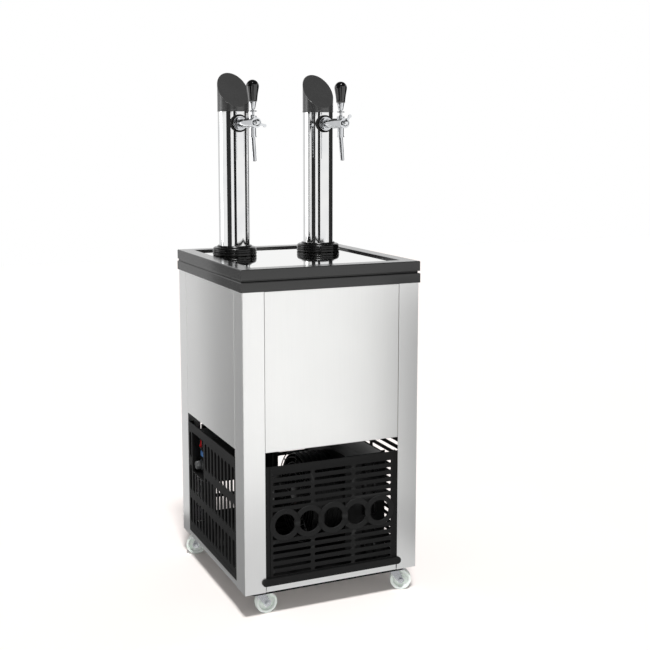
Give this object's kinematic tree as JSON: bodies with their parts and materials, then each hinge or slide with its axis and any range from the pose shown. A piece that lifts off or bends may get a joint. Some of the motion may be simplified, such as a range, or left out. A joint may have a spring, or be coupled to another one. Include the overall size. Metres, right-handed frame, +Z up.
{
  "type": "draft beer dispenser",
  "caption": "Steel cabinet draft beer cooler on casters with slanted-cap chrome towers, pull taps, black vent grilles and a fan-cooled unit inside.",
  "frame": {"origin": "floor level under the middle of the cabinet", "axes": "+Z up, front with the taps towards -Y, +X to the right seen from the front"},
  "size_m": [0.436, 0.4825, 1.2305],
  "materials": {
    "brushed_steel": "fine vertical brush",
    "mirror_steel": "mirror polished",
    "black_moulding": "satin moulded",
    "black_gloss": "gloss moulded",
    "chrome_plate": "polished",
    "zinc_plate": "bright zinc",
    "nylon": "natural nylon",
    "foam": "rigid foam",
    "white_plastic": "moulded",
    "copper": "drawn tube",
    "line_steel": "drawn tube",
    "black_paint": "satin enamel",
    "fin_aluminium": "mill finish",
    "rubber": "moulded",
    "red_plastic": "translucent moulded",
    "blue_plate": "plain enamel",
    "grey_plastic": "moulded"
  },
  "bodies": {
    "cabinet": {"base_pan": "brushed_steel", "corner_posts": "brushed_steel", "front_panel": "brushed_steel", "rear_panel": "brushed_steel", "side_panels": "brushed_steel", "connection_plate": "brushed_steel", "tank_liner": "brushed_steel", "top_plate": "mirror_steel", "front_grille": "black_moulding", "left_grille": "black_moulding", "right_grille": "black_moulding", "rear_grille": "black_moulding", "lower_trim_frame": "black_moulding", "upper_trim_frame": "black_moulding", "tower_bases": "black_moulding", "tower_caps": "black_moulding", "control_box": "black_moulding", "switch_housing": "black_moulding", "mains_gland": "black_moulding", "tower_tubes": "chrome_plate", "tap_shanks": "chrome_plate", "tap_bodies": "chrome_plate", "tap_spouts": "chrome_plate", "beer_inlets": "chrome_plate", "deck_plate": "zinc_plate", "caster_plates": "zinc_plate", "tank_foam": "foam", "tank_lid": "white_plastic", "evaporator_coil": "copper", "refrigerant_lines": "copper", "beer_lines": "line_steel", "compressor": "black_paint", "condenser": "black_paint", "fan_shroud": "black_paint", "fan_guard": "black_paint", "fan_motor": "black_paint", "agitator_motor": "black_paint", "compressor_feet": "rubber", "tap_gaskets": "rubber", "control_label": "blue_plate"},
    "left_handle": {"left_tap_lever": "chrome_plate", "left_tap_knob": "black_gloss"},
    "right_handle": {"right_tap_lever": "chrome_plate", "right_tap_knob": "black_gloss"},
    "left_plunger": {"left_valve_plunger": "zinc_plate"},
    "right_plunger": {"right_valve_plunger": "zinc_plate"},
    "left_flow_control": {"left_flow_lever": "chrome_plate"},
    "right_flow_control": {"right_flow_lever": "chrome_plate"},
    "rocker": {"power_rocker": "red_plastic"},
    "knob": {"thermostat_knob": "grey_plastic"},
    "fan": {"fan_blades": "fin_aluminium"},
    "agitator": {"agitator_impeller": "zinc_plate"},
    "front_left_caster": {"front_left_fork": "zinc_plate"},
    "front_left_wheel_body": {"front_left_wheel": "nylon"},
    "front_right_caster": {"front_right_fork": "zinc_plate"},
    "front_right_wheel_body": {"front_right_wheel": "nylon"},
    "rear_left_caster": {"rear_left_fork": "zinc_plate"},
    "rear_left_wheel_body": {"rear_left_wheel": "nylon"},
    "rear_right_caster": {"rear_right_fork": "zinc_plate"},
    "rear_right_wheel_body": {"rear_right_wheel": "nylon"}
  },
  "joints": [
    {"name": "left_tap_pull", "type": "hinge", "parent": "cabinet", "child": "left_handle", "pos_m": [-0.1115, -0.032, 1.122], "axis": [1, 0, 0], "range_deg": [0, 35]},
    {"name": "left_valve_slide", "type": "slide", "parent": "cabinet", "child": "left_plunger", "axis": [0, 1, 0], "range_m": [0, 0.0084]},
    {"name": "left_flow_turn", "type": "hinge", "parent": "cabinet", "child": "left_flow_control", "pos_m": [-0.1115, -0.056, 1.108], "axis": [0, -1, 0], "range_deg": [-50, 130]},
    {"name": "right_tap_pull", "type": "hinge", "parent": "cabinet", "child": "right_handle", "pos_m": [0.1115, -0.032, 1.122], "axis": [1, 0, 0], "range_deg": [0, 35]},
    {"name": "right_valve_slide", "type": "slide", "parent": "cabinet", "child": "right_plunger", "axis": [0, 1, 0], "range_m": [0, 0.0084]},
    {"name": "right_flow_turn", "type": "hinge", "parent": "cabinet", "child": "right_flow_control", "pos_m": [0.1115, -0.056, 1.108], "axis": [0, -1, 0], "range_deg": [-125, 55]},
    {"name": "power_rocker_tilt", "type": "hinge", "parent": "cabinet", "child": "rocker", "pos_m": [-0.193, 0.13, 0.314], "axis": [0, -1, 0], "range_deg": [0, 18]},
    {"name": "thermostat_turn", "type": "hinge", "parent": "cabinet", "child": "knob", "pos_m": [-0.195, 0.13, 0.26], "axis": [-1, 0, 0], "range_deg": [-135, 135]},
    {"name": "fan_spin", "type": "hinge", "parent": "cabinet", "child": "fan", "pos_m": [0.064, -0.079, 0.218], "axis": [1, 0, 0], "continuous": true},
    {"name": "agitator_spin", "type": "hinge", "parent": "cabinet", "child": "agitator", "pos_m": [0, 0, 0.7482], "axis": [0, 0, 1], "continuous": true},
    {"name": "front_left_swivel", "type": "hinge", "parent": "cabinet", "child": "front_left_caster", "pos_m": [-0.172, -0.2, 0.055], "axis": [0, 0, 1], "continuous": true},
    {"name": "front_left_roll", "type": "hinge", "parent": "front_left_caster", "child": "front_left_wheel_body", "pos_m": [-0.152, -0.2, 0.025], "axis": [0, 1, 0], "continuous": true},
    {"name": "front_right_swivel", "type": "hinge", "parent": "cabinet", "child": "front_right_caster", "pos_m": [0.172, -0.2, 0.055], "axis": [0, 0, 1], "continuous": true},
    {"name": "front_right_roll", "type": "hinge", "parent": "front_right_caster", "child": "front_right_wheel_body", "pos_m": [0.19041, -0.20781, 0.025], "axis": [0.3907, 0.9205, 0], "continuous": true},
    {"name": "rear_left_swivel", "type": "hinge", "parent": "cabinet", "child": "rear_left_caster", "pos_m": [-0.172, 0.2, 0.055], "axis": [0, 0, 1], "continuous": true},
    {"name": "rear_left_roll", "type": "hinge", "parent": "rear_left_caster", "child": "rear_left_wheel_body", "pos_m": [-0.19041, 0.20781, 0.025], "axis": [-0.3907, -0.9205, 0], "continuous": true},
    {"name": "rear_right_swivel", "type": "hinge", "parent": "cabinet", "child": "rear_right_caster", "pos_m": [0.172, 0.2, 0.055], "axis": [0, 0, 1], "continuous": true},
    {"name": "rear_right_roll", "type": "hinge", "parent": "rear_right_caster", "child": "rear_right_wheel_body", "pos_m": [0.15387, 0.19155, 0.025], "axis": [0.4226, -0.9063, 0], "continuous": true}
  ],
  "couplings": [
    {"joint": "left_valve_slide", "follows": "left_tap_pull", "m_per_rad": 0.0133},
    {"joint": "right_valve_slide", "follows": "right_tap_pull", "m_per_rad": 0.0133}
  ]
}
